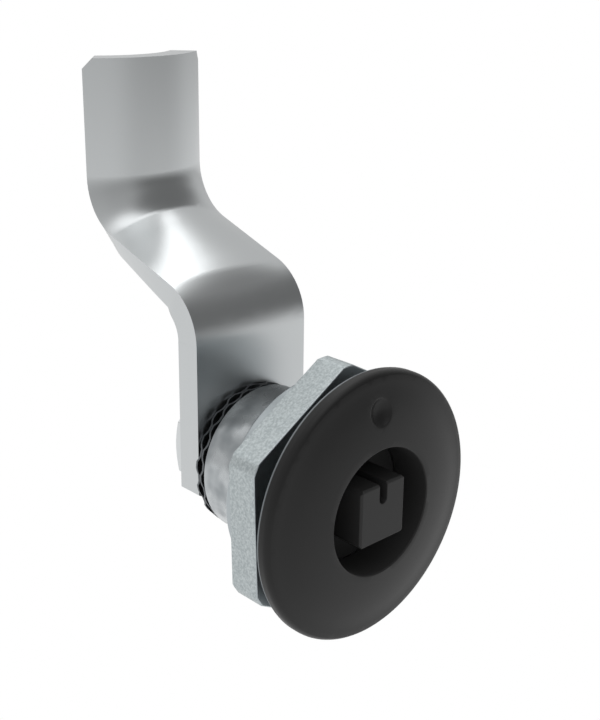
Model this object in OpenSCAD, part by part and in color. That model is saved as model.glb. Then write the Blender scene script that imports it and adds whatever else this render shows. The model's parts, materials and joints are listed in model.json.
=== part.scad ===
/* [Flange and cap] */
// Outside diameter of the black flange cap
cap_d = 36; // [30:0.5:44]
// Height of the cap's crown above the panel
cap_h = 3.55; // [3:0.05:5]
// Height of the cap's widest line above the panel
rim_h = 1.0; // [0.8:0.05:1.4]
// Thickness of the bare metal edge that shows behind the cap
metal_edge = 0.25; // [0.2:0.05:0.6]
// Radius of the rounded outer edge of the cap
rim_round = 1.1; // [0.4:0.05:1.3]
// How far the face of the cap bulges from a plain cone
crown = 0.25; // [0.05:0.05:0.4]
// Diameter of the round recess for the key
recess_d = 17; // [16:0.1:18]
// Depth of the recess below the panel's outer face
recess_depth = 2.2; // [1.6:0.1:2.6]
// Wall of the cap's sleeve in the recess
sleeve_wall = 0.7; // [0.5:0.05:0.9]
// Thickness of the housing's flange
flange_t = 1.4; // [1.3:0.05:1.6]
// Diameter of the position dimple at its mouth
dimple_d = 3.7; // [2:0.1:4.4]
// Distance of the dimple from the latch axis
dimple_r = 13.6; // [12:0.1:14.2]
// Radius of the ball that forms the dimple
dimple_ball = 2.6; // [2.55:0.05:4]

/* [Gasket] */
// Width of the flange face left between the barrel and the gasket
gasket_inset = 1.5; // [1:0.1:2]
// Width of the flange face left outside the gasket
gasket_margin = 2.5; // [2:0.1:3.5]
// Thickness of the gasket when clamped
gasket_t = 0.8; // [0.5:0.05:0.9]

/* [Barrel] */
// Nominal diameter of the threaded barrel
thread_d = 22; // [21.6:0.1:23]
// Distance across the two flats that stop the barrel turning in the panel
flats_w = 20.9; // [20.9:0.05:21.5]
// Length of the threaded barrel behind the panel's outer face
thread_len = 13.5; // [12:0.1:15]
// Diameter of the smooth end of the barrel
barrel_d = 20.8; // [20:0.1:21]
// Length of the whole barrel behind the panel's outer face
barrel_len = 19.25; // [18:0.05:22]
// Chamfer on the barrel's rear edge
barrel_chamfer = 0.3; // [0.1:0.05:0.6]
// Chamfer at the end of the thread
thread_chamfer = 0.5; // [0.2:0.05:0.55]
// Diameter of the bearing bore for the rotor
bearing_d = 14.6; // [14.5:0.05:15]

/* [Clamp nut] */
// Width of the nut across its flats
nut_af = 32; // [30:0.1:34]
// How much is turned off each of the nut's corners, measured on the radius
nut_corner_cut = 0.475; // [0.1:0.025:1.2]
// Thickness of the hexagon
nut_t = 4.7; // [4:0.1:6]
// Diameter of the round collar behind the hexagon
nut_collar_d = 28; // [26:0.1:29]
// Angle by which the tightened nut's top corner stands left of upright, seen from the front
nut_turn = 1.6; // [-15:0.1:15]
// Thickness of the round collar
nut_collar_t = 3.4; // [2.5:0.1:4]
// Chamfer at both ends of the nut's thread
nut_chamfer = 0.6; // [0.2:0.1:1.2]
// Chamfer on the rear edge of the collar
collar_chamfer = 0.3; // [0.1:0.05:0.6]
// Panel thickness between flange and nut
panel_t = 2.4; // [1:0.1:3.2]

/* [Rotor] */
// Width of the square drive stud
stud_w = 8; // [7:0.1:8.4]
// How far the stud stands in front of the recess edge
stud_proud = 0.15; // [0:0.05:0.5]
// Chamfer on the stud's four corners
stud_corner = 0.5; // [0.1:0.05:0.9]
// Chamfer round the stud's front face
stud_edge = 0.25; // [0.1:0.05:0.4]
// Width of the position slot in the stud
slot_w = 1.35; // [0.8:0.05:2]
// Height of the slot's round end above the latch axis
slot_z = 1.9; // [1:0.05:2.6]
// Thickness of the rotor's head
head_t = 3.3; // [2.5:0.1:3.4]
// Half of the angle that the stop lug takes
lug_half = 12; // [8:1:16]
// Quarter turn between the stops
turn = 90; // [60:1:120]
// Free angle between the lug and each stop
stop_play = 1; // [0.5:0.5:2]
// Radial height of the stop lug
lug_h = 0.4; // [0.3:0.05:0.45]
// Width of the square that carries the cam
cam_square = 10; // [9:0.1:10.2]

/* [Seals] */
// Cord diameter of each rotor O-ring
o_ring_cord = 1.5; // [1:0.1:1.8]
// Distance of the front O-ring behind the panel's outer face
o_ring_y1 = 8.5; // [7:0.1:10]
// Distance between the two O-rings
o_ring_pitch = 3; // [2.6:0.1:3.5]

/* [Wave washers] */
// Gap between barrel and cam that the two wave washers fill
spring_gap = 1.7; // [1.4:0.05:2.2]
// Outside diameter of the wave washers
wave_od = 20.5; // [19:0.1:21]
// Inside diameter of the wave washers
wave_id = 15.4; // [15:0.1:17]
// Sheet thickness of the wave washers
wave_t = 0.3; // [0.2:0.05:0.45]
// Number of waves in each washer
wave_n = 18; // [6:1:20]

/* [Cam] */
// Width of the cam's flat base
cam_w = 19.4; // [16:0.1:22]
// How much wider the guide arm is than the base
arm_extra_w = 0.7; // [0:0.1:1.5]
// Sheet thickness of the cam
cam_t = 3.85; // [3:0.05:4.2]
// Height of the cam's tip above the latch axis
cam_tip = 52.9; // [46:0.1:60]
// How far the arm's side edges are set back from the base
cam_offset = 23.2; // [21:0.1:26]
// Slope of the cam's shelf above the horizontal
shelf_angle = 18.5; // [10:0.5:25]
// Bend radius on the front face at both ends of the shelf
bend_r = 8; // [7:0.1:9]
// Height at which the flat base ends
base_top = 17.6; // [14:0.1:20]
// How far the arm's middle bulges towards the flange
arm_bulge = 4.2; // [2:0.1:4.6]
// Height below the axis at which the base's corners start
base_low = 3.5; // [2:0.1:5]
// Height below the axis at which the base ends
base_end = 7.8; // [7:0.1:9]
// Size of the two cut corners of the tip, measured on the sheet
tip_chamfer = 1.4; // [0.5:0.1:1.5]

/* [Cam bolt] */
// Thread diameter of the bolt
bolt_d = 8; // [6:1:8]
// Width of the bolt head across its flats
bolt_af = 13; // [10:0.5:13]
// Height of the bolt head
bolt_head = 5.3; // [4:0.1:5.5]
// Length of the bolt below its head
bolt_len = 12; // [10:0.5:13]

/* [Hidden] */
$fn = 96;

// Clearances
press_gap = 0.05;    // between pieces that are pressed or snapped together
run_gap = 0.05;      // radial, between the rotor and its bearing
screw_gap = 0.02;    // radial, between a thread's crest and its hole
seat_gap = 0.1;      // axial, where a turning piece passes a fixed one
wave_gap = 0.05;     // axial, on each side of a wave washer

// Radii and places that several pieces share; y runs from front to back
cap_r = cap_d / 2;
recess_r = recess_d / 2;
sleeve_r = recess_r + sleeve_wall;
flange_step_r = cap_r - 1;
dome_r = cap_r - rim_round;
dome_h = rim_h + rim_round * 0.86;
edge_round = 0.2;
thread_r = thread_d / 2;
bearing_r = bearing_d / 2;
shaft_r = bearing_r - run_gap;
head_r = recess_r + 0.1;
head_bore_r = head_r + seat_gap;
lug_r = head_bore_r + lug_h;
pocket_r = lug_r + seat_gap;
gasket_in_r = thread_r + gasket_inset;
gasket_out_r = cap_r - gasket_margin;
nut_corner_r = nut_af / sqrt(3) - nut_corner_cut;
head_y = recess_depth;
seat_y = head_y + head_t + seat_gap;
cam_y = barrel_len + spring_gap;
bolt_y = cam_y + cam_t;
bolt_hole_r = bolt_d / 2 + screw_gap;
nut_y = panel_t;
nut_collar_y = nut_y + nut_t;
stud_y = -cap_h - stud_proud;
groove_r = shaft_r - o_ring_cord - 0.05;
groove_w = o_ring_cord * 1.3;

// Turns a shape drawn along z so that it runs backwards from y0
module along_axis(y0) {
    translate([0, y0, 0]) rotate([-90, 0, 0]) children();
}

// Round bar and round ring on the latch axis
module bar(r, y0, y1) {
    along_axis(y0) cylinder(r = r, h = y1 - y0);
}

module ring(r_out, r_in, y0, y1) {
    difference() {
        bar(r_out, y0, y1);
        bar(r_in, y0 - 1, y1 + 1);
    }
}

// Round bar with a chamfer round its rear edge
module turned_bar(r, y0, y1, chamfer) {
    bar(r, y0, y1 - chamfer);
    along_axis(y1 - chamfer) cylinder(r1 = r, r2 = r - chamfer, h = chamfer);
}

// Hexagonal bar with a corner pointing up, or turned from there to the left as seen from the front
module hex_bar(af, y0, y1, turned = 0) {
    along_axis(y0) rotate(30 - turned) cylinder(r = af / sqrt(3), h = y1 - y0, $fn = 6);
}

// Slice of a round bar between two angles, seen from the front, anticlockwise from the right
module sector_bar(r, a0, a1, y0, y1) {
    reach = r * 1.5;
    steps = 6;
    step = (a1 - a0) / steps;
    spokes = [for (i = [0:steps]) reach * [cos(a0 + i * step), -sin(a0 + i * step)]];
    intersection() {
        bar(r, y0, y1);
        along_axis(y0) linear_extrude(y1 - y0) polygon(concat([[0, 0]], spokes));
    }
}

// Points of an arc about a centre, from angle a0 to a1
function arc(c, r, a0, a1, n) = [for (i = [0:n]) let (a = a0 + (a1 - a0) * i / n) c + r * [cos(a), sin(a)]];

// Height of the cap's face at radius r: a cone with a slight bulge
function face_h(r) =
    let (u = (r - recess_r) / (dome_r - recess_r))
    cap_h + (dome_h - cap_h) * u + 4 * crown * u * (1 - u);

// Section of the cap as [radius, height above the panel], from the recess outwards
function cap_outline() = concat(
    arc([recess_r + edge_round, cap_h - edge_round], edge_round, 180, 90, 4),
    [for (i = [1:7]) let (r = recess_r + (dome_r - recess_r) * i / 8) [r, face_h(r)]],
    arc([cap_r - rim_round, rim_h], rim_round, 62, 0, 6),
    [
        [cap_r, metal_edge], [flange_step_r + press_gap, metal_edge],
        [flange_step_r + press_gap, flange_t], [sleeve_r, flange_t],
        [sleeve_r, -recess_depth + seat_gap], [recess_r, -recess_depth + seat_gap]
    ]
);

// Domed black cap with the key recess and the position dimple
module flange_cap() {
    rise = sqrt(pow(dimple_ball, 2) - pow(dimple_d / 2, 2));
    color("#2b2b2c") difference() {
        rotate([90, 0, 0]) rotate_extrude() polygon(cap_outline());
        translate([0, -face_h(dimple_r) - rise, dimple_r]) sphere(r = dimple_ball);
    }
}

// Die-cast housing: flange, barrel with two flats, stop pocket and bearing bore
module housing() {
    pocket_a = lug_half + stop_play;
    flat_len = thread_len + 2;
    color("#c4c7ca") difference() {
        union() {
            bar(flange_step_r, -flange_t, 0);
            bar(cap_r - 0.1, -metal_edge, 0);
            intersection() {
                turned_bar(thread_r, -0.1, thread_len, thread_chamfer);
                translate([-flats_w / 2, -1, -thread_r]) cube([flats_w, flat_len, 2 * thread_r]);
            }
            turned_bar(barrel_d / 2, 0, barrel_len, barrel_chamfer);
        }
        bar(sleeve_r + press_gap, -flange_t - 1, head_y);
        bar(head_bore_r, head_y - 1, seat_y);
        sector_bar(pocket_r, 90 - turn - pocket_a, 90 + pocket_a, head_y - 0.5, seat_y);
        bar(bearing_r, seat_y - 1, barrel_len + 1);
        ring(gasket_out_r, gasket_in_r, -gasket_t, 1);
    }
}

// Flat rubber gasket in the back of the flange
module flange_gasket() {
    color("#1c1c1c") ring(gasket_out_r - press_gap, gasket_in_r + press_gap, -gasket_t, 0);
}

// Hexagon nut with turned corners, a round collar at the back and a chamfered thread
module clamp_nut() {
    end_y = nut_collar_y + nut_collar_t;
    color("#b3b9ba") difference() {
        union() {
            intersection() {
                hex_bar(nut_af, nut_y, nut_collar_y, nut_turn);
                bar(nut_corner_r, nut_y, nut_collar_y);
            }
            turned_bar(nut_collar_d / 2, nut_y, end_y, collar_chamfer);
        }
        bar(thread_r + screw_gap, nut_y - 1, end_y + 1);
        along_axis(nut_y - 1)
            cylinder(r1 = thread_r + nut_chamfer + 1, r2 = thread_r, h = nut_chamfer + 1);
        along_axis(end_y - nut_chamfer)
            cylinder(r1 = thread_r, r2 = thread_r + nut_chamfer + 1, h = nut_chamfer + 1);
    }
}

// Square stud with cut corners, a chamfered face and the position slot
module drive_stud() {
    w = stud_w;
    depth = head_y - stud_y;
    corner = w / 2 * sqrt(2) - stud_corner / sqrt(2);
    difference() {
        intersection() {
            translate([-w / 2, stud_y, -w / 2]) cube([w, depth + 0.5, w]);
            rotate([0, 45, 0]) translate([-corner, stud_y - 1, -corner])
                cube([2 * corner, depth + 3, 2 * corner]);
        }
        for (a = [0:90:270])
            rotate([0, a, 0]) translate([w / 2, stud_y, 0]) rotate([0, 0, 45])
                cube([stud_edge * sqrt(2), stud_edge * sqrt(2), 2 * w], center = true);
        translate([0, 0, slot_z]) bar(slot_w / 2, stud_y - 1, head_y);
        translate([-slot_w / 2, stud_y - 1, slot_z]) cube([slot_w, depth + 1, w]);
    }
}

// Rotor in one piece: stud, head with stop lug, shaft with two grooves, cam square and bolt hole
module rotor() {
    color("#39393a") difference() {
        union() {
            drive_stud();
            bar(head_r, head_y, head_y + head_t);
            sector_bar(lug_r, 90 - lug_half, 90 + lug_half, head_y + 0.3, head_y + head_t - 0.3);
            bar(shaft_r, head_y + 0.5, cam_y);
            translate([-cam_square / 2, cam_y - 1, -cam_square / 2])
                cube([cam_square, cam_t + 0.8, cam_square]);
        }
        for (y = [o_ring_y1, o_ring_y1 + o_ring_pitch])
            ring(shaft_r + 1, groove_r, y - groove_w / 2, y + groove_w / 2);
        bar(bolt_hole_r, bolt_y - bolt_len - 1, bolt_y + 1);
    }
}

module o_ring(y) {
    color("#181818") along_axis(y) rotate_extrude() translate([shaft_r - o_ring_cord / 2 - 0.02, 0])
        circle(d = o_ring_cord, $fn = 32);
}

module o_ring_front() {
    o_ring(o_ring_y1);
}

module o_ring_rear() {
    o_ring(o_ring_y1 + o_ring_pitch);
}

// Wave of a spring washer: 1 on a crest, -1 in a trough, with flat tops
wave_turn = 2;
function wave(a) = max(-1, min(1, 1.7 * sin(wave_n * (a + wave_turn))));

// Corrugated ring about y0: with side 1 its crests lie to the back, with side -1 to the front
module wave_washer(y0, side) {
    seg = wave_n * 8;
    swing = (spring_gap / 2 - 1.5 * wave_gap - wave_t) / 2;
    r = [wave_id / 2, wave_od / 2, wave_od / 2, wave_id / 2];
    lift = [-wave_t / 2, -wave_t / 2, wave_t / 2, wave_t / 2];
    pts = [
        for (i = [0:seg - 1]) let (a = 360 * i / seg, y = y0 + side * swing * wave(a))
            for (k = [0:3]) [r[k] * cos(a), y + lift[k], r[k] * sin(a)]
    ];
    faces = [
        for (i = [0:seg - 1]) let (j = (i + 1) % seg)
            for (k = [0:3]) let (m = (k + 1) % 4) each [
                [4 * i + k, 4 * i + m, 4 * j + m],
                [4 * i + k, 4 * j + m, 4 * j + k]
            ]
    ];
    color("#3a3d40") polyhedron(pts, faces, convexity = 8);
}

module wave_washer_front() {
    wave_washer(barrel_len + spring_gap / 4 + wave_gap / 4, 1);
}

module wave_washer_rear() {
    wave_washer(cam_y - spring_gap / 4 - wave_gap / 4, -1);
}

// Path of the cam's front side edges as [y, z, heading], where heading 0 is up and 90 is backwards
sweep = 90 - shelf_angle;
setback = bend_r * tan(sweep / 2);
arm_y = cam_y + cam_offset;
shelf_len = cam_offset / sin(sweep) - 2 * setback;
bend_steps = 12;
shelf_steps = 5;
shelf_dir = [sin(sweep), cos(sweep)];
low_bend = [
    for (i = [0:bend_steps]) let (a = sweep * i / bend_steps)
        [cam_y + bend_r * (1 - cos(a)), base_top + bend_r * sin(a), a]
];
shelf_start = [low_bend[bend_steps][0], low_bend[bend_steps][1]];
shelf_end = shelf_start + shelf_len * shelf_dir;
high_bend = [
    for (i = [0:bend_steps]) let (a = sweep * (1 - i / bend_steps))
        [arm_y - bend_r * (1 - cos(a)), shelf_end[1] + bend_r * (sin(sweep) - sin(a)), a]
];
arm_start = high_bend[bend_steps][1];
cam_path = concat(
    [[cam_y, base_top - 1, 0]],
    low_bend,
    [
        for (i = [1:shelf_steps - 1]) let (p = shelf_start + shelf_len * shelf_dir * i / shelf_steps)
            [p[0], p[1], sweep]
    ],
    high_bend,
    [[arm_y, (arm_start + cam_tip) / 2, 0], [arm_y, cam_tip - tip_chamfer, 0], [arm_y, cam_tip, 0]]
);

// Share of the arm's full curl and width at a step of the path: none on the base, all of it on the arm
curl_from = 1 + bend_steps * 0.6;
curl_to = 1 + bend_steps * 1.6 + shelf_steps;
function ease(u) = let (v = max(0, min(1, u))) v * v * (3 - 2 * v);
function curl(i) = ease((i - curl_from) / (curl_to - curl_from));

// Section of the bent plate, front face first: offset across the path and along its normal
cam_cols = 14;
function cam_section(i) =
    let (
        g = max(0.02, arm_bulge * curl(i)),
        half = (cam_w + arm_extra_w * curl(i)) / 2,
        rad = (half * half + g * g) / (2 * g),
        edge = asin(half / rad),
        cut = i == len(cam_path) - 1 ? edge - tip_chamfer / rad * 180 / PI : edge,
        turns = [for (k = [0:cam_cols]) max(-cut, min(cut, edge * (2 * k / cam_cols - 1)))],
        front = [for (a = turns) [rad * sin(a), rad * cos(a) - rad + g]],
        back = [for (k = [cam_cols:-1:0]) front[k] - cam_t * [sin(turns[k]), cos(turns[k])]]
    )
    concat(front, back);

// Arm of the cam: the plate bends back over the shelf and curls into a guide
module cam_arm() {
    per = 2 * (cam_cols + 1);
    last = len(cam_path) - 1;
    pts = [
        for (i = [0:last]) let (p = cam_path[i])
            for (s = cam_section(i)) [s[0], p[0] - s[1] * cos(p[2]), p[1] + s[1] * sin(p[2])]
    ];
    sides = [
        for (i = [0:last - 1]) for (k = [0:per - 1]) let (m = (k + 1) % per) each [
            [per * i + k, per * (i + 1) + k, per * (i + 1) + m],
            [per * i + k, per * (i + 1) + m, per * i + m]
        ]
    ];
    caps = [
        for (e = [0, last]) for (k = [0:cam_cols - 1]) let (
            a = per * e + k, b = a + 1, c = per * e + per - 2 - k, d = c + 1
        ) each (e == 0 ? [[a, b, c], [a, c, d]] : [[a, c, b], [a, d, c]])
    ];
    polyhedron(pts, concat(sides, caps), convexity = 6);
}

// Flat base of the cam with its tapered lower end
module cam_base() {
    half = cam_w / 2;
    foot = half - (base_end - base_low) / tan(30);
    translate([0, cam_y + cam_t, 0]) rotate([90, 0, 0]) linear_extrude(cam_t) polygon([
        [half, -base_low], [half, base_top], [-half, base_top],
        [-half, -base_low], [-foot, -base_end], [foot, -base_end]
    ]);
}

// Stamped steel cam with a square hole
module cam() {
    hole = cam_square + 2 * press_gap;
    color("#b9bcbe") difference() {
        union() {
            cam_base();
            cam_arm();
        }
        translate([-hole / 2, cam_y - 1, -hole / 2]) cube([hole, cam_t + 2, hole]);
    }
}

// Hexagon bolt that clamps the cam on the rotor
module cam_bolt() {
    head_end = bolt_y + bolt_head;
    top_r = bolt_af / 2 * 0.98;
    corner_r = bolt_af / sqrt(3);
    chamfer_h = (corner_r - top_r) * tan(30);
    color("#c9cdcf") union() {
        intersection() {
            hex_bar(bolt_af, bolt_y, head_end);
            along_axis(head_end) rotate([180, 0, 0]) rotate_extrude() polygon([
                [0, 0], [top_r, 0], [corner_r + 0.01, chamfer_h],
                [corner_r + 0.01, bolt_head + 1], [0, bolt_head + 1]
            ]);
        }
        along_axis(bolt_y - bolt_len) rotate_extrude() polygon([
            [0, 0], [bolt_d / 2 - 0.8, 0], [bolt_d / 2, 0.8],
            [bolt_d / 2, bolt_len + 0.5], [0, bolt_len + 0.5]
        ]);
    }
}

flange_cap();
housing();
flange_gasket();
clamp_nut();
rotor();
o_ring_front();
o_ring_rear();
wave_washer_front();
wave_washer_rear();
cam();
cam_bolt();
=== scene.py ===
"""Looks of a quarter-turn cam latch: black domed flange, zinc-plated barrel and nut, stamped steel cam."""

import json
import math

import bpy
from mathutils import Matrix, Quaternion, Vector

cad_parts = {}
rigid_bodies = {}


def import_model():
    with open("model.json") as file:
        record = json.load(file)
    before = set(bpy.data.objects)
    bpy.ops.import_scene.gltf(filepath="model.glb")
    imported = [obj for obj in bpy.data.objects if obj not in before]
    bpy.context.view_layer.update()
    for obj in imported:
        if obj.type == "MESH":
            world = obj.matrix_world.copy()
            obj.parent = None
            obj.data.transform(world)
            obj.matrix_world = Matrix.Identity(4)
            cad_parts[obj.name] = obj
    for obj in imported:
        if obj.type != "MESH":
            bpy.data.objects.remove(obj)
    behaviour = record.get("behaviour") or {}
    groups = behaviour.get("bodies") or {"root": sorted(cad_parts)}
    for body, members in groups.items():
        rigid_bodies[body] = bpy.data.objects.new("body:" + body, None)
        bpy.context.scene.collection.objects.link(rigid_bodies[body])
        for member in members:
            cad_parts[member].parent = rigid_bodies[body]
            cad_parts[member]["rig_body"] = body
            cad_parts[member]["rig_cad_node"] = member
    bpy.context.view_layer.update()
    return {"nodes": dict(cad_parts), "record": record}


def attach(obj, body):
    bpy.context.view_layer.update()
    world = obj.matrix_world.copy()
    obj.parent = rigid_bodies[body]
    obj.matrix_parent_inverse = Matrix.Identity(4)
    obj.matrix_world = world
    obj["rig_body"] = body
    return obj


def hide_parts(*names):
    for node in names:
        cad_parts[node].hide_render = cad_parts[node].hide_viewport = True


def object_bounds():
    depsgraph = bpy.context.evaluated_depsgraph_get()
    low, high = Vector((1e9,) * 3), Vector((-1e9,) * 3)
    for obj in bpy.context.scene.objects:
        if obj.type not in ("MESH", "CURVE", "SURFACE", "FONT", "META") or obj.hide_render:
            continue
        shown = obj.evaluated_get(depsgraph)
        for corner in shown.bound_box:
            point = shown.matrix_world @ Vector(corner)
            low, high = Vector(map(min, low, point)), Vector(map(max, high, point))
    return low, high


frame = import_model()
nodes = frame["nodes"]
scene = bpy.context.scene
MM = 0.001


# Colours and nodes


def srgb(code):
    """A six-digit sRGB hex colour as linear RGBA."""
    channels = [int(code[i:i + 2], 16) / 255 for i in (1, 3, 5)]
    linear = [c / 12.92 if c <= 0.04045 else ((c + 0.055) / 1.055) ** 2.4 for c in channels]
    return (*linear, 1.0)


def add(owner, kind, inputs=None, feeds=None, **settings):
    """Adds one node to a material or world: its settings, what goes into it, and the sockets it feeds."""
    node = owner.node_tree.nodes.new(kind)
    links = owner.node_tree.links
    for name, value in settings.items():
        setattr(node, name, value)
    for name, value in (inputs or {}).items():
        if isinstance(value, bpy.types.NodeSocket):
            links.new(value, node.inputs[name])
        else:
            node.inputs[name].default_value = value
    for name, target in (feeds or {}).items():
        links.new(node.outputs[name], target)
    return node


# Finishes. A millimetre is about ten pixels in the render. A real grain too fine for that is drawn coarser,
# and its comment says so.


def new_material(name, looks):
    """A material, its shader with looks that are even all over, and the place that its patterns follow."""
    material = bpy.data.materials.new(name)
    material.use_nodes = True
    shader = material.node_tree.nodes["Principled BSDF"]
    for socket, value in looks.items():
        shader.inputs[socket].default_value = value
    place = add(material, "ShaderNodeTexCoord").outputs["Object"]
    return material, shader, place


def grained(name, looks, width, depth, strength=0.1, detail=2.0):
    """A material with one even grain in its surface. The grain's width and depth are in millimetres."""
    material, shader, place = new_material(name, looks)
    pattern = {"Vector": place, "Scale": 1 / (width * MM), "Detail": detail}
    grain = add(material, "ShaderNodeTexNoise", pattern)
    height = {"Height": grain.outputs["Fac"], "Strength": strength, "Distance": depth * MM}
    add(material, "ShaderNodeBump", height, {"Normal": shader.inputs["Normal"]})
    return material


def two_toned(material, shader, pattern, dark, light):
    """Colours a material between two tones by soft noise, and gives how light each place is."""
    noise = add(material, "ShaderNodeTexNoise", pattern)
    parted = {"Value": noise.outputs["Fac"], "From Min": 0.3, "From Max": 0.7}
    tone = add(material, "ShaderNodeMapRange", parted, interpolation_type="SMOOTHSTEP").outputs["Result"]
    colours = {"Factor": tone, "A": srgb(dark), "B": srgb(light)}
    add(material, "ShaderNodeMix", colours, {"Result": shader.inputs["Base Color"]}, data_type="RGBA")
    return tone


def black_cap_finish():
    """Black powder coat on die-cast metal: a soft satin sheen over a fine, even texture."""
    # The texture is about a tenth of a millimetre, and is drawn 0.35 mm wide.
    looks = {"Base Color": srgb("#202020"), "Roughness": 0.42, "Specular IOR Level": 0.27}
    return grained("powder_coat_black", looks, width=0.35, depth=0.02, strength=0.12)


def rotor_finish():
    """Black-plated die-cast zinc: satin, a touch lighter than the cap."""
    # The casting's grain is finer than a tenth of a millimetre, and is drawn 0.2 mm wide.
    looks = {"Base Color": srgb("#363636"), "Roughness": 0.5, "Specular IOR Level": 0.2}
    return grained("black_plated_zinc", looks, width=0.2, depth=0.02)


def recess_painted_shading_finish(name, colour):
    """A matte copy of a black coat or plating for the key recess, with hardly any sheen. Its colour is
    painted light and shade.
    """
    # Its grain is finer than a tenth of a millimetre, and is drawn 0.3 mm wide.
    looks = {"Base Color": srgb(colour), "Roughness": 0.75, "Specular IOR Level": 0.2}
    return grained(name, looks, width=0.3, depth=0.02)


def bright_zinc_finish():
    """Bright zinc plating on the die-cast barrel: half mirror, with soft clouds in tone and gloss."""
    # The clouds are 3.5 mm wide and the waves of the cast skin 3 mm, as the photograph shows them.
    material, shader, place = new_material("bright_zinc", {"Metallic": 1.0})
    clouds = {"Vector": place, "Scale": 1 / (3.5 * MM), "Detail": 2.0}
    tone = two_toned(material, shader, clouds, "#969b9e", "#bec2c4")
    gloss = {"Value": tone, "To Min": 0.36, "To Max": 0.24}
    add(material, "ShaderNodeMapRange", gloss, {"Result": shader.inputs["Roughness"]})
    wave = add(material, "ShaderNodeTexNoise", {"Vector": place, "Scale": 1 / (3.0 * MM), "Detail": 2.0})
    height = {"Height": wave.outputs["Fac"], "Strength": 0.3, "Distance": 0.25 * MM}
    add(material, "ShaderNodeBump", height, {"Normal": shader.inputs["Normal"]})
    return material


def cast_edge_finish():
    """As-cast zinc on the housing's flange: dull grey, soft."""
    # The cast skin's grain is about a tenth of a millimetre, and is drawn 0.4 mm wide.
    looks = {"Base Color": srgb("#808588"), "Metallic": 1.0, "Roughness": 0.45}
    return grained("dull_cast_zinc", looks, width=0.4, depth=0.03, strength=0.15, detail=3.0)


def mottled_zinc_finish():
    """Thick zinc coat on the nut's flats: light and dark specks over small dimples."""
    # The specks are 0.34 mm wide and the dimples 0.42 mm, as the photograph shows them.
    material, shader, place = new_material("mottled_zinc", {"Metallic": 1.0, "Roughness": 0.5})
    dimples = add(material, "ShaderNodeTexVoronoi", {"Vector": place, "Scale": 1 / (0.42 * MM)})
    specks = {"Vector": place, "Scale": 1 / (0.34 * MM), "Detail": 3.0, "Roughness": 0.65}
    two_toned(material, shader, specks, "#a9b1b3", "#cad1d2")
    height = {"Height": dimples.outputs["Color"], "Strength": 0.22, "Distance": 0.05 * MM}
    add(material, "ShaderNodeBump", height, {"Normal": shader.inputs["Normal"]})
    return material


def turned_zinc_finish():
    """Machined and plated ends of the nut: smooth, a little bluish, with a faint grain."""
    # The tool marks are finer than a tenth of a millimetre, and are drawn as a grain 0.6 mm wide.
    looks = {"Base Color": srgb("#b3babd"), "Metallic": 1.0, "Roughness": 0.4}
    return grained("turned_zinc", looks, width=0.6, depth=0.03)


def satin_zinc_finish():
    """Satin zinc plating on stamped sheet steel: soft broad reflections over a faint grain."""
    # The plating's crystals are a few hundredths of a millimetre, and are drawn 0.22 mm wide.
    looks = {"Base Color": srgb("#c6c9ca"), "Metallic": 1.0, "Roughness": 0.3}
    return grained("satin_zinc_steel", looks, width=0.22, depth=0.03, strength=0.12, detail=3.0)


def bolt_finish():
    """Zinc plating on the forged bolt: brighter than the cam, over the forging's slightly uneven skin."""
    # The forging's grain is drawn 0.4 mm wide, about as coarse as a real one's.
    looks = {"Base Color": srgb("#d4d7d8"), "Metallic": 1.0, "Roughness": 0.33}
    return grained("zinc_plated_bolt", looks, width=0.4, depth=0.03, detail=3.0)


def spring_finish():
    """Spring steel strip, rolled and hardened, half gloss. Its dark grey is painted shade, so the washers
    stay dark in the gap between barrel and cam.
    """
    # The rolling grain is finer than a tenth of a millimetre, and is drawn 0.5 mm wide.
    looks = {"Base Color": srgb("#6b6e71"), "Metallic": 1.0, "Roughness": 0.42}
    return grained("dark_spring_steel_painted_shade", looks, width=0.5, depth=0.02)


def rubber_finish():
    """Moulded black nitrile rubber: matte, with a fine uneven skin."""
    # The mould's grain is about a tenth of a millimetre, and is drawn 0.5 mm wide.
    looks = {"Base Color": srgb("#161616"), "Roughness": 0.7}
    return grained("nitrile_rubber", looks, width=0.5, depth=0.02)


# Pieces. All but the thread are finished copies of their solids, with merged facets and, where they show,
# broken edges. Places nearer than CLOSE count as the same. An edge sharper than SHARP_FROM is one that gets
# broken, or that is shaded sharp.

CLOSE = 0.01 * MM
MERGE_WITHIN = 0.001 * MM
FLAT_WITHIN = math.radians(0.05)
SHARP_FROM = math.radians(32)
BROKEN_EDGE_STEPS = 3


def select_only(piece):
    """Selects one piece and makes it the active one."""
    bpy.ops.object.select_all(action="DESELECT")
    piece.select_set(True)
    bpy.context.view_layer.objects.active = piece


def apply_modifier(piece, kind, **settings):
    """Adds a modifier with its settings and applies it."""
    modifier = piece.modifiers.new(kind.lower(), kind)
    for name, value in settings.items():
        setattr(modifier, name, value)
    select_only(piece)
    bpy.ops.object.modifier_apply(modifier=modifier.name)


def body_of(node):
    """The body that a CAD node belongs to."""
    bodies = frame["record"]["behaviour"]["bodies"]
    return next(body for body, members in bodies.items() if node in members)


def clean_copy(node, name):
    """A copy of a CAD node with its loose triangles merged into clean faces."""
    piece = nodes[node].copy()
    piece.data = nodes[node].data.copy()
    piece.name = piece.data.name = name
    # The copy is a piece of its own, so it drops the marks of the CAD node.
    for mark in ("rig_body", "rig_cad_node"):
        if mark in piece:
            del piece[mark]
    piece.parent = None
    scene.collection.objects.link(piece)
    select_only(piece)
    bpy.ops.mesh.customdata_custom_splitnormals_clear()
    bpy.ops.object.mode_set(mode="EDIT")
    bpy.ops.mesh.select_all(action="SELECT")
    bpy.ops.mesh.remove_doubles(threshold=MERGE_WITHIN)
    bpy.ops.mesh.dissolve_limited(angle_limit=FLAT_WITHIN)
    bpy.ops.object.mode_set(mode="OBJECT")
    return piece


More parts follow.
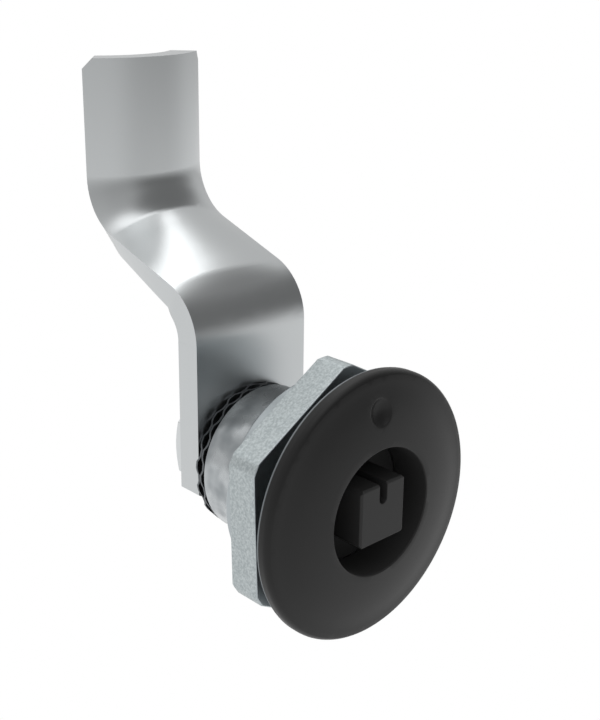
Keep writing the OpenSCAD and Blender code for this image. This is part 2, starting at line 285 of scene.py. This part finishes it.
def broken_edges(piece, width):
    """Rounds the sharp edges, as tumbling and plating leave them, and stays in the solid's own box."""
    corners = [vertex.co.copy() for vertex in piece.data.vertices]
    low = [min(corner[axis] for corner in corners) for axis in range(3)]
    high = [max(corner[axis] for corner in corners) for axis in range(3)]
    apply_modifier(
        piece, "BEVEL", width=width, segments=BROKEN_EDGE_STEPS, limit_method="ANGLE",
        angle_limit=SHARP_FROM, miter_outer="MITER_ARC", use_clamp_overlap=True,
    )
    for vertex in piece.data.vertices:
        for axis in range(3):
            vertex.co[axis] = max(low[axis], min(high[axis], vertex.co[axis]))


def finish_piece(piece, node, material):
    """Smooth shading, material and body for one piece that belongs to a CAD node."""
    select_only(piece)
    bpy.ops.object.shade_smooth_by_angle(angle=SHARP_FROM)
    piece.data.materials.clear()
    piece.data.materials.append(material)
    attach(piece, body_of(node))
    piece.select_set(False)


def second_material(piece, material, chosen):
    """Gives every face that the test picks the second material."""
    piece.data.materials.append(material)
    for face in piece.data.polygons:
        if chosen(face):
            face.material_index = 1


def shown(node, name, material, edge=0.0):
    """The finished copy of one solid, with its edges broken by the given width."""
    piece = clean_copy(node, name)
    if edge:
        broken_edges(piece, edge)
    finish_piece(piece, node, material)
    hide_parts(node)
    if edge:
        apply_modifier(piece, "WEIGHTED_NORMAL", keep_sharp=True)
        piece.select_set(False)
    return piece


# Faces with a finish of their own, or with painted light and shade in the key recess. The last three values
# are shares of a face's normal along an axis.

CAP_RECESS = 8.55 * MM
STUD_FRONT = -3.0 * MM
STUD_REACH = 5.5 * MM
STUD_END = 2.0 * MM
COLLAR_START = 7.0 * MM
FACES_FRONT = -0.3
FACES_LEFT = -0.5
FACES_END = 0.4


def distance_out(face):
    """How far a face's centre is from the latch axis."""
    return math.hypot(face.center.x, face.center.z)


def in_cap_recess(face):
    """The cap's faces inside the key recess, which get a lighter matte copy of the coat: painted fill
    light.
    """
    return distance_out(face) < CAP_RECESS


def rotor_painted_shade_faces(face):
    """The rotor's faces other than the stud's front end and its left side: they get a darker matte copy,
    painted shade.
    """
    front = face.normal.y < FACES_FRONT and face.center.y < STUD_FRONT
    on_stud = distance_out(face) < STUD_REACH and face.center.y < STUD_END
    left = face.normal.x < FACES_LEFT and on_stud
    return not front and not left


def on_flange(face):
    """The housing's faces up to the flange's back."""
    return face.center.y < CLOSE


def turned_on_nut(face):
    """The nut's ends, turned corners and collar."""
    return abs(face.normal.y) > FACES_END or face.center.y > COLLAR_START


# The barrel's thread

THREAD_CREST = 11.0 * MM
THREAD_ROOT = 10.42 * MM
THREAD_PITCH = 1.0 * MM
THREAD_START = 0.1 * MM
THREAD_END = 13.0 * MM
THREADED_BARREL_END = 14.0 * MM
BARREL_FLAT = 10.45 * MM
CREST_HALF = 0.08 * THREAD_PITCH
ROOT_HALF = 0.44 * THREAD_PITCH
RIDGE_SINK = 0.02 * MM
STEPS_PER_TURN = 96


def threaded_housing(material):
    """The housing with its threaded part turned down to the root, ready for the thread's ridge."""
    piece = clean_copy("housing", "housing_body")
    for vertex in piece.data.vertices:
        radius = math.hypot(vertex.co.x, vertex.co.z)
        behind_flange = 0 < vertex.co.y < THREADED_BARREL_END
        if behind_flange and THREAD_ROOT < radius <= THREAD_CREST + CLOSE:
            vertex.co.x *= THREAD_ROOT / radius
            vertex.co.z *= THREAD_ROOT / radius
    finish_piece(piece, "housing", material)
    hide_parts("housing")
    return piece


def barrel_thread(material):
    """The barrel's fine thread: one ridge wound round the axis, flattened on both sides."""
    bpy.ops.object.select_all(action="DESELECT")
    bpy.ops.mesh.primitive_plane_add(size=1.0)
    ridge = bpy.context.object
    ridge.name = ridge.data.name = "barrel_thread"
    bpy.ops.object.mode_set(mode="EDIT")
    bpy.ops.mesh.delete(type="ONLY_FACE")
    bpy.ops.mesh.select_all(action="DESELECT")
    bpy.ops.object.mode_set(mode="OBJECT")
    for edge in ridge.data.edges:
        edge.select = all(ridge.data.vertices[i].co.x < 0 for i in edge.vertices)
    for vertex in ridge.data.vertices:
        at_crest = vertex.co.x > 0
        radius = THREAD_CREST if at_crest else THREAD_ROOT - RIDGE_SINK
        half = CREST_HALF if at_crest else ROOT_HALF
        vertex.co = (radius, THREAD_START + ROOT_HALF + math.copysign(half, vertex.co.y), 0)
    bpy.ops.object.mode_set(mode="EDIT")
    bpy.ops.mesh.select_mode(type="EDGE")
    bpy.ops.mesh.delete(type="EDGE")
    bpy.ops.mesh.select_mode(type="VERT")
    bpy.ops.object.mode_set(mode="OBJECT")
    turns = int((THREAD_END - THREAD_START) / THREAD_PITCH) - 1
    apply_modifier(
        ridge, "SCREW", axis="Y", angle=2 * math.pi, screw_offset=THREAD_PITCH,
        iterations=turns, steps=STEPS_PER_TURN, render_steps=STEPS_PER_TURN,
    )
    for vertex in ridge.data.vertices:
        vertex.co.x = max(-BARREL_FLAT, min(BARREL_FLAT, vertex.co.x))
    select_only(ridge)
    bpy.ops.object.mode_set(mode="EDIT")
    bpy.ops.mesh.select_all(action="SELECT")
    bpy.ops.mesh.normals_make_consistent(inside=False)
    bpy.ops.object.mode_set(mode="OBJECT")
    finish_piece(ridge, "housing", material)


# The latch

bright_zinc = bright_zinc_finish()
spring_steel = spring_finish()
rubber = rubber_finish()
domed_cap = shown("flange_cap", "domed_cap", black_cap_finish(), edge=0.12 * MM)
# The cap's faces in the key recess get a lighter matte copy of the black coat: painted fill light.
second_material(domed_cap, recess_painted_shading_finish("black_coat_painted_fill_light", "#343434"), in_cap_recess)
key_rotor = shown("rotor", "key_rotor", rotor_finish(), edge=0.15 * MM)
# The rotor keeps its lighter satin finish only on the stud's front end and left side, and its other faces
# get a darker matte copy. The two tones paint light and shade.
second_material(key_rotor, recess_painted_shading_finish("black_plating_painted_shade", "#2e2e2e"), rotor_painted_shade_faces)
second_material(threaded_housing(bright_zinc), cast_edge_finish(), on_flange)
barrel_thread(bright_zinc)
hex_nut = shown("clamp_nut", "hex_nut", mottled_zinc_finish(), edge=0.2 * MM)
second_material(hex_nut, turned_zinc_finish(), turned_on_nut)
shown("cam", "bent_cam", satin_zinc_finish(), edge=0.3 * MM)
shown("cam_bolt", "hex_bolt", bolt_finish(), edge=0.2 * MM)
shown("wave_washer_front", "front_wave_washer", spring_steel)
shown("wave_washer_rear", "rear_wave_washer", spring_steel)
shown("flange_gasket", "gasket", rubber)
shown("o_ring_front", "front_o_ring", rubber)
shown("o_ring_rear", "rear_o_ring", rubber)


# Floor and light


def direction(azimuth, elevation):
    """Unit vector: azimuth 0 points back along +Y, 90 to the right along +X, in degrees."""
    a, e = math.radians(azimuth), math.radians(elevation)
    return Vector((math.sin(a) * math.cos(e), math.cos(a) * math.cos(e), math.sin(e)))


def soft_patch(owner, ray, middle, edge, core, level):
    """A round patch about one direction: nothing beyond the edge's cosine, the level within the core's."""
    cosine = add(owner, "ShaderNodeVectorMath", {0: ray, 1: middle}, operation="DOT_PRODUCT")
    fade = {"Value": cosine.outputs["Value"], "From Min": edge, "From Max": core, "To Max": level}
    return add(owner, "ShaderNodeMapRange", fade, interpolation_type="SMOOTHSTEP").outputs["Result"]


FLOOR_SIZE = 6.0
FLOOR_DROP = 0.03


def floor_finish():
    """Matte pale board that the camera sees evenly white."""
    # In gloss it gets darker further out, and a little more so towards the studio's unlit side.
    looks = {"Base Color": srgb("#f4f4f4"), "Roughness": 0.9}
    material, shader, place = new_material("pale_floor", looks)
    reach = add(material, "ShaderNodeVectorMath", {0: place}, operation="LENGTH").outputs["Value"]
    outward = add(material, "ShaderNodeVectorMath", {0: place}, operation="NORMALIZE").outputs["Vector"]
    rays = add(material, "ShaderNodeLightPath").outputs
    unlit = soft_patch(material, outward, direction(152, 0), edge=0.55, core=0.98, level=-0.2)
    clear = {"Value": reach, "From Min": 0.2, "From Max": 0.5}
    away = add(material, "ShaderNodeMapRange", clear, interpolation_type="SMOOTHSTEP")
    fall = {"Value": reach, "From Min": 0.3, "From Max": 1.2, "To Min": 1.0, "To Max": 0.55}
    far = add(material, "ShaderNodeMapRange", fall, interpolation_type="SMOOTHSTEP")
    parts = {0: unlit, 1: away.outputs["Result"], 2: far.outputs["Result"]}
    dimmed = add(material, "ShaderNodeMath", parts, operation="MULTIPLY_ADD").outputs[0]
    full_for_camera = {0: dimmed, 1: rays["Is Camera Ray"]}
    level = add(material, "ShaderNodeMath", full_for_camera, operation="MAXIMUM").outputs[0]
    glow = add(material, "ShaderNodeEmission", {"Strength": level}).outputs[0]
    straight = {0: rays["Is Camera Ray"], 1: rays["Is Transmission Ray"]}
    direct = add(material, "ShaderNodeMath", straight, operation="MAXIMUM").outputs[0]
    mirrored = {0: direct, 1: rays["Is Glossy Ray"]}
    seen = add(material, "ShaderNodeMath", mirrored, operation="MAXIMUM").outputs[0]
    surface = material.node_tree.nodes["Material Output"].inputs["Surface"]
    add(material, "ShaderNodeMixShader", {0: seen, 1: shader.outputs[0], 2: glow}, {0: surface})
    return material


def ground():
    """Pale floor under the latch, which hangs above it."""
    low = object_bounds()[0]
    bpy.ops.object.select_all(action="DESELECT")
    bpy.ops.mesh.primitive_plane_add(size=FLOOR_SIZE, location=(0, 0, low[2] - FLOOR_DROP))
    floor = bpy.context.object
    floor.name = "floor"
    bpy.ops.object.transform_apply(location=True)
    floor.data.materials.append(floor_finish())


ROOM_LEVEL = 0.7
DARK_LEVEL = 0.2
CEILING_LEVEL = 1.75
BACK_WALL_RISE = 0.45
FILL_LEVEL = 0.6


def light_room(world, target):
    """What gloss sees by direction: grey walls with an unlit side, bright ceiling, glow at the back."""
    toward = add(world, "ShaderNodeTexCoord").outputs["Object"]
    height = add(world, "ShaderNodeSeparateXYZ", {"Vector": toward}).outputs["Z"]
    level = add(world, "ShaderNodeVectorMath", {0: toward, 1: (1, 1, 0)}, operation="MULTIPLY").outputs[0]
    around = add(world, "ShaderNodeVectorMath", {0: level}, operation="NORMALIZE").outputs["Vector"]
    unlit = soft_patch(world, around, direction(141, 0), edge=0.46, core=0.93, level=1.0)
    shaded = soft_patch(world, around, direction(185, 0), edge=0.2, core=0.95, level=0.45)
    darker = add(world, "ShaderNodeMath", {0: unlit, 1: shaded}, operation="MAXIMUM").outputs[0]
    from_floor = {"Value": height, "From Min": -0.17, "From Max": 0.2}
    above = add(world, "ShaderNodeMapRange", from_floor, interpolation_type="SMOOTHSTEP").outputs["Result"]
    to_ceiling = {"Value": height, "From Min": 0.85, "From Max": 0.95, "To Min": 1.0, "To Max": 0.0}
    below = add(world, "ShaderNodeMapRange", to_ceiling, interpolation_type="SMOOTHSTEP").outputs["Result"]
    band = add(world, "ShaderNodeMath", {0: above, 1: below}, operation="MULTIPLY").outputs[0]
    in_dark = add(world, "ShaderNodeMath", {0: darker, 1: band}, operation="MULTIPLY").outputs[0]
    dimmed = {0: in_dark, 1: DARK_LEVEL - ROOM_LEVEL, 2: ROOM_LEVEL}
    walls = add(world, "ShaderNodeMath", dimmed, operation="MULTIPLY_ADD").outputs[0]
    ceiling_rise = CEILING_LEVEL - ROOM_LEVEL
    ceiling = soft_patch(world, toward, direction(172, 78), edge=0.86, core=0.98, level=ceiling_rise)
    back_wall = soft_patch(world, toward, direction(5, 45), edge=0.8, core=0.95, level=BACK_WALL_RISE)
    lit_walls = add(world, "ShaderNodeMath", {0: walls, 1: ceiling}, operation="ADD").outputs[0]
    add(world, "ShaderNodeMath", {0: lit_walls, 1: back_wall}, {0: target}, operation="ADD")


def studio():
    """White backdrop all round. Its unlit side, behind the camera's right shoulder, shows only in gloss."""
    world = bpy.data.worlds.new("studio")
    scene.world = world
    world.use_nodes = True
    room = world.node_tree.nodes["Background"]
    room.inputs["Strength"].default_value = 1.0
    light_room(world, room.inputs["Color"])
    fill = add(world, "ShaderNodeBackground", {"Color": srgb("#ffffff"), "Strength": FILL_LEVEL})
    white = add(world, "ShaderNodeBackground", {"Color": srgb("#ffffff"), "Strength": 1.0})
    rays = add(world, "ShaderNodeLightPath").outputs
    by_gloss = {0: rays["Is Glossy Ray"], 1: rays["Is Transmission Ray"]}
    mirrored = add(world, "ShaderNodeMath", by_gloss, operation="MAXIMUM").outputs[0]
    lit = add(world, "ShaderNodeMixShader", {0: mirrored, 1: fill.outputs[0], 2: room.outputs[0]})
    surface = world.node_tree.nodes["World Output"].inputs["Surface"]
    by_ray = {0: rays["Is Camera Ray"], 1: lit.outputs[0], 2: white.outputs[0]}
    add(world, "ShaderNodeMixShader", by_ray, {0: surface})


def soft_lamp(name, place, aim, size, tilt, power):
    """One soft box: its place, the point it looks at and its size in metres, its tilt in degrees."""
    light = bpy.data.lights.new(name, "AREA")
    light.shape = "RECTANGLE"
    light.size, light.size_y = size
    light.energy = power
    lamp = bpy.data.objects.new(name, light)
    scene.collection.objects.link(lamp)
    lamp.location = place
    turned = Quaternion((0, 0, 1), math.radians(tilt))
    lamp.rotation_euler = ((Vector(aim) - Vector(place)).to_track_quat("-Z", "Y") @ turned).to_euler()


# Camera, fitted to the photograph. Pixels are those of the 600 by 720 image.

IMAGE_WIDTH = 600
IMAGE_HEIGHT = 720
CENTRE_PIXEL = (274.0, 333.3)
FOCAL_PIXELS = 1177.4
SENSOR = 36.0
VIEW_AZIMUTH = -42.63
VIEW_ELEVATION = 18.5
VIEW_ROLL = 0.28
VIEW_AIM = Vector((-23.76, -9.164, 30.37)) * MM
VIEW_DISTANCE = 118.99 * MM


def camera():
    """Camera at the photograph's place, with its centre shifted a little."""
    data = bpy.data.cameras.new("photo_view")
    data.sensor_fit = "AUTO"
    data.sensor_width = SENSOR
    data.lens = FOCAL_PIXELS / IMAGE_HEIGHT * SENSOR
    data.shift_x = (IMAGE_WIDTH / 2 - CENTRE_PIXEL[0]) / IMAGE_HEIGHT
    data.shift_y = (CENTRE_PIXEL[1] - IMAGE_HEIGHT / 2) / IMAGE_HEIGHT
    data.clip_start = 0.001
    data.clip_end = 20
    view = bpy.data.objects.new("photo_view", data)
    scene.collection.objects.link(view)
    back = direction(180 - VIEW_AZIMUTH, VIEW_ELEVATION)
    turn = back.to_track_quat("Z", "Y") @ Quaternion((0, 0, 1), math.radians(VIEW_ROLL))
    view.matrix_world = Matrix.Translation(VIEW_AIM + back * VIEW_DISTANCE) @ turn.to_matrix().to_4x4()
    scene.camera = view


ground()
studio()
soft_lamp(
    "high_lamp", place=direction(46, 62) * 0.5, aim=(0, 0.02, 0.02), size=(0.21, 0.05),
    tilt=20, power=0.15,
)
camera()
scene.view_settings.view_transform = "Standard"
